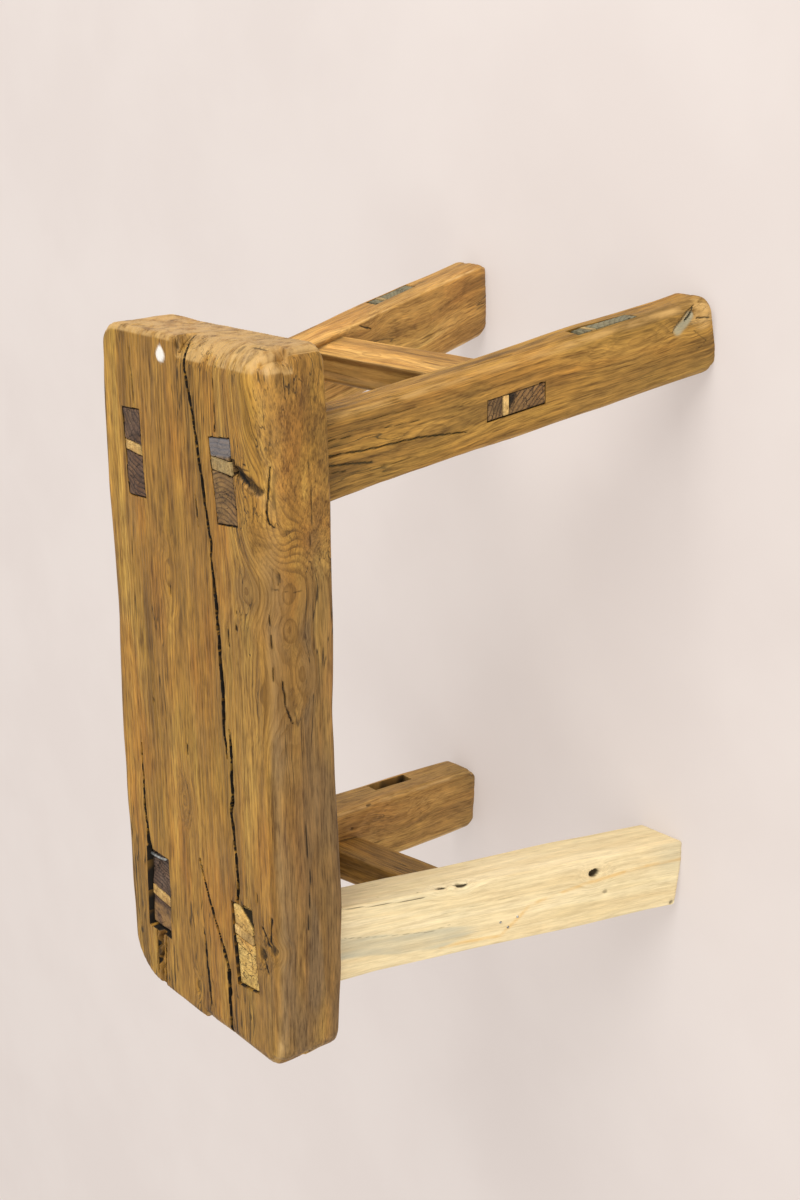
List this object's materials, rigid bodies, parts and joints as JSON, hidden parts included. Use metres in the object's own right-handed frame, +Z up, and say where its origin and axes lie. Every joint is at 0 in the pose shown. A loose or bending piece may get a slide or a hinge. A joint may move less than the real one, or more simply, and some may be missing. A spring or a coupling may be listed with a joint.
{
  "type": "rustic wooden stool",
  "caption": "Low rustic stool: a thick worn plank on splayed legs wedged through the top, with a side stretcher under each end and one pale replacement leg.",
  "frame": {"origin": "on the floor, under the middle of the stool's bounding box", "axes": "+X along the seat towards the end with the broad stretcher, +Y across the seat away from the new leg, +Z up; the stool stands on its feet"},
  "size_m": [0.4303, 0.2439, 0.3125],
  "materials": {
    "old_seat_wood": "worn, waxed, open grain with drying cracks",
    "old_leg_wood": "hewn, weathered, open grain",
    "new_leg_wood": "new sawn softwood, unfinished",
    "wedge_wood": "end grain, dry",
    "stub_wood": "weathered end grain",
    "steel": "dull bright wire"
  },
  "bodies": {
    "root": {"seat": "old_seat_wood", "leg_front_right": "old_leg_wood", "leg_back_right": "old_leg_wood", "leg_front_left": "new_leg_wood", "leg_back_left": "old_leg_wood", "stretcher_right": "old_leg_wood", "stretcher_left": "old_leg_wood", "seat_wedge_front_right": "wedge_wood", "seat_wedge_back_right": "wedge_wood", "seat_wedge_front_left": "wedge_wood", "seat_wedge_back_left": "wedge_wood", "stretcher_wedge_front_right": "wedge_wood", "stretcher_wedge_back_right": "wedge_wood", "stretcher_wedge_back_left": "wedge_wood", "rail_stub_front_right": "stub_wood", "rail_stub_back_right": "stub_wood", "rail_stub_back_left": "stub_wood", "stub_wedge_front_right": "wedge_wood", "stub_wedge_back_right": "wedge_wood", "stub_wedge_back_left": "wedge_wood", "stretcher_brads": "steel", "tenon_staple": "steel"}
  },
  "joints": []
}
